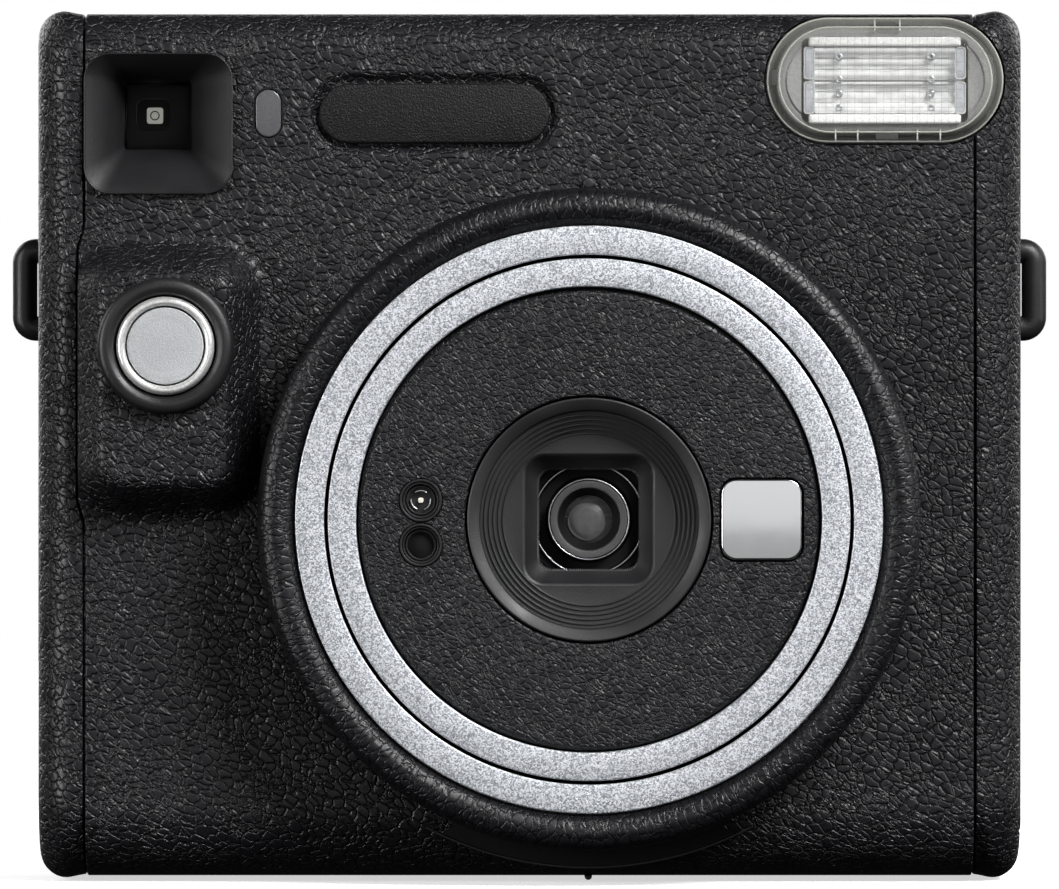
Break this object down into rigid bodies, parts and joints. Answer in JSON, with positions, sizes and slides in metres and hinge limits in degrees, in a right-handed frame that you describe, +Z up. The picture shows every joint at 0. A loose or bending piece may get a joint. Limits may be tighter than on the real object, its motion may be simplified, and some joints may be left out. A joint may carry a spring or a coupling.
{
  "type": "instant camera",
  "caption": "Square-format instant camera with a turning lens dial, a pop-out lens barrel, a flash, a film door at the back and leather-grain covers.",
  "frame": {"origin": "middle of the footprint, on the surface that the camera stands on", "axes": "+Z up, the lens looks along -Y, +X to the right of someone facing the lens"},
  "size_m": [0.1416, 0.0638, 0.1182],
  "materials": {
    "leather_black": "pebbled black leather grain",
    "satin_black": "satin",
    "inner_black": "matt",
    "rubber_black": "matt",
    "silver_paint": "fine sparkle paint",
    "bright_trim": "polished",
    "satin_metal": "satin",
    "steel": "machined",
    "dark_glass": "clear",
    "clear_smoke": "clear moulded",
    "flash_glass": "clear",
    "grey_panel": "satin",
    "mirror_silver": "polished",
    "board_green": "solder mask",
    "cell_sleeve": "shrink sleeve",
    "white_plastic": "satin"
  },
  "bodies": {
    "body": {"front_shell": "leather_black", "rear_shell": "leather_black", "left_end_cover": "leather_black", "right_end_cover": "leather_black", "strap_lug_left": "satin_black", "strap_lug_right": "satin_black", "case_screw_1": "steel", "case_screw_2": "steel", "index_mark": "satin_black", "foot_pip": "rubber_black", "viewfinder_bezel": "satin_black", "viewfinder_front_lens": "dark_glass", "viewfinder_rear_lens": "dark_glass", "viewfinder_eyepiece": "rubber_black", "name_plate": "satin_black", "light_sensor_window": "dark_glass", "flash_cover": "clear_smoke", "flash_housing": "grey_panel", "flash_reflector": "bright_trim", "flash_tube": "flash_glass", "chassis": "inner_black", "hinge_pin": "steel", "counter_window": "dark_glass", "gear_bracket": "inner_black", "drive_motor": "steel", "battery_lower": "cell_sleeve", "battery_upper": "cell_sleeve", "battery_holder": "inner_black", "flash_capacitor": "cell_sleeve", "circuit_board": "board_green", "shutter_collar": "satin_black", "shutter_trim_ring": "bright_trim", "shutter_switch": "board_green", "button_spring": "steel"},
    "lens_dial": {"lens_dial_grip": "leather_black", "outer_silver_ring": "silver_paint"},
    "lens_barrel": {"inner_silver_ring": "silver_paint", "barrel_tube": "inner_black", "lens_face": "leather_black", "lens_hood": "satin_black", "lens_ring": "satin_black", "front_lens": "dark_glass", "shutter_housing": "inner_black", "light_meter_lens": "dark_glass", "flash_meter_lens": "dark_glass", "selfie_mirror": "mirror_silver"},
    "shutter_blade": {"shutter_blade": "steel"},
    "shutter_button": {"shutter_button": "satin_metal"},
    "film_door": {"film_door": "leather_black", "film_check_window": "dark_glass", "pack_spring": "steel"},
    "door_latch": {"door_latch": "satin_black"},
    "battery_door": {"battery_door": "leather_black"},
    "exit_flap": {"exit_flap": "satin_black"},
    "roller_front": {"roller_front": "steel"},
    "roller_rear": {"roller_rear": "steel"},
    "idler_gear": {"idler_gear": "white_plastic"},
    "motor_pinion": {"motor_pinion": "white_plastic"},
    "film_pick": {"film_pick": "steel"},
    "counter_dial": {"counter_dial": "white_plastic"}
  },
  "joints": [
    {"name": "lens_dial_turn", "type": "hinge", "parent": "body", "child": "lens_dial", "pos_m": [0.008, -0.025, 0.0491], "axis": [0, 1, 0], "range_deg": [0, 75]},
    {"name": "lens_extend", "type": "slide", "parent": "body", "child": "lens_barrel", "axis": [0, -1, 0], "range_m": [0, 0.007]},
    {"name": "shutter_blade_swing", "type": "hinge", "parent": "lens_barrel", "child": "shutter_blade", "pos_m": [0.018, -0.0173, 0.0411], "axis": [0, 1, 0], "range_deg": [0, 38]},
    {"name": "shutter_press", "type": "slide", "parent": "body", "child": "shutter_button", "axis": [0, 1, 0], "range_m": [0, 0.0012], "stiffness_N_per_m": 400, "deforming": ["button_spring"]},
    {"name": "film_door_swing", "type": "hinge", "parent": "body", "child": "film_door", "pos_m": [0.0569, 0.0274, 0.054], "axis": [0, 0, -1], "range_deg": [0, 100]},
    {"name": "door_latch_slide", "type": "slide", "parent": "body", "child": "door_latch", "axis": [0, 0, -1], "range_m": [0, 0.0035], "stiffness_N_per_m": 250},
    {"name": "battery_door_swing", "type": "hinge", "parent": "body", "child": "battery_door", "pos_m": [0.06685, 0.00575, 0.0245], "axis": [0, 0, 1], "range_deg": [0, 100]},
    {"name": "exit_flap_swing", "type": "hinge", "parent": "body", "child": "exit_flap", "pos_m": [0.008, 0.0139, 0.1124], "axis": [-1, 0, 0], "range_deg": [0, 80], "stiffness_Nm_per_rad": 0.002},
    {"name": "roller_front_spin", "type": "hinge", "parent": "body", "child": "roller_front", "pos_m": [0.008, 0.0047, 0.1055], "axis": [1, 0, 0], "continuous": true},
    {"name": "roller_rear_spin", "type": "hinge", "parent": "body", "child": "roller_rear", "pos_m": [0.008, 0.0125, 0.1055], "axis": [1, 0, 0], "continuous": true},
    {"name": "idler_spin", "type": "hinge", "parent": "body", "child": "idler_gear", "pos_m": [0.0565, 0.0007, 0.09451], "axis": [1, 0, 0], "continuous": true},
    {"name": "pinion_spin", "type": "hinge", "parent": "body", "child": "motor_pinion", "pos_m": [0.0565, -0.00502, 0.08535], "axis": [1, 0, 0], "continuous": true},
    {"name": "film_pick_slide", "type": "slide", "parent": "body", "child": "film_pick", "axis": [0, 0, 1], "range_m": [0, 0.012], "stiffness_N_per_m": 30},
    {"name": "counter_dial_turn", "type": "hinge", "parent": "body", "child": "counter_dial", "pos_m": [-0.051, 0.0205, 0.0165], "axis": [0, 1, 0], "continuous": true}
  ],
  "couplings": [
    {"joint": "lens_extend", "follows": "lens_dial_turn", "m_per_rad": 0.0053476},
    {"joint": "roller_rear_spin", "follows": "roller_front_spin", "ratio": -1},
    {"joint": "idler_spin", "follows": "roller_front_spin", "ratio": -0.5},
    {"joint": "pinion_spin", "follows": "roller_front_spin", "ratio": 1.3}
  ]
}
